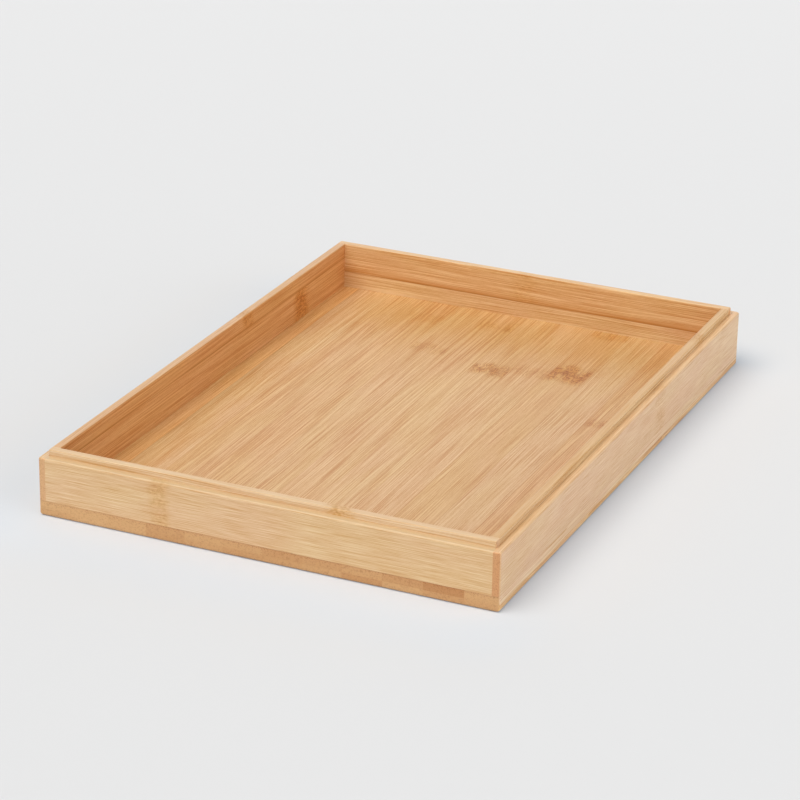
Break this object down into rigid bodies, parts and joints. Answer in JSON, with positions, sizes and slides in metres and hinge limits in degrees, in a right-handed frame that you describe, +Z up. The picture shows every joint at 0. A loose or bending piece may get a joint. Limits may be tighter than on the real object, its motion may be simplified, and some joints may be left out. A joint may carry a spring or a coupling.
{
  "type": "serving tray",
  "caption": "Shallow rectangular bamboo serving tray with a laminated strip base, laminated walls lapped at the corners and a rebated rim with a raised inner lip.",
  "frame": {"origin": "middle of the underside, level with the surface that the tray stands on", "axes": "+X to the right across the short side, +Y towards the back along the long side, +Z up"},
  "size_m": [0.254, 0.3556, 0.0355],
  "materials": {
    "bamboo_pale": "satin clear lacquer",
    "bamboo_honey": "satin clear lacquer",
    "bamboo_amber": "satin clear lacquer",
    "bamboo_toasted": "satin clear lacquer"
  },
  "bodies": {
    "root": {"underside_strip_01": "bamboo_amber", "underside_strip_02": "bamboo_toasted", "underside_strip_03": "bamboo_amber", "underside_strip_04": "bamboo_honey", "underside_strip_05": "bamboo_amber", "underside_strip_06": "bamboo_toasted", "underside_strip_07": "bamboo_amber", "underside_strip_08": "bamboo_honey", "underside_strip_09": "bamboo_amber", "underside_strip_10": "bamboo_toasted", "underside_strip_11": "bamboo_amber", "underside_strip_12": "bamboo_honey", "floor_strip_01": "bamboo_honey", "floor_strip_02": "bamboo_pale", "floor_strip_03": "bamboo_honey", "floor_strip_04": "bamboo_honey", "floor_strip_05": "bamboo_pale", "floor_strip_06": "bamboo_honey", "floor_strip_07": "bamboo_pale", "floor_strip_08": "bamboo_honey", "floor_strip_09": "bamboo_honey", "floor_strip_10": "bamboo_pale", "floor_strip_11": "bamboo_honey", "floor_strip_12": "bamboo_pale", "left_outer_ply": "bamboo_pale", "left_inner_lower_strip": "bamboo_amber", "left_inner_upper_strip": "bamboo_honey", "right_outer_ply": "bamboo_pale", "right_inner_lower_strip": "bamboo_amber", "right_inner_upper_strip": "bamboo_honey", "front_outer_ply": "bamboo_pale", "front_inner_lower_strip": "bamboo_honey", "front_inner_upper_strip": "bamboo_pale", "back_outer_ply": "bamboo_pale", "back_inner_lower_strip": "bamboo_honey", "back_inner_upper_strip": "bamboo_pale"}
  },
  "joints": []
}
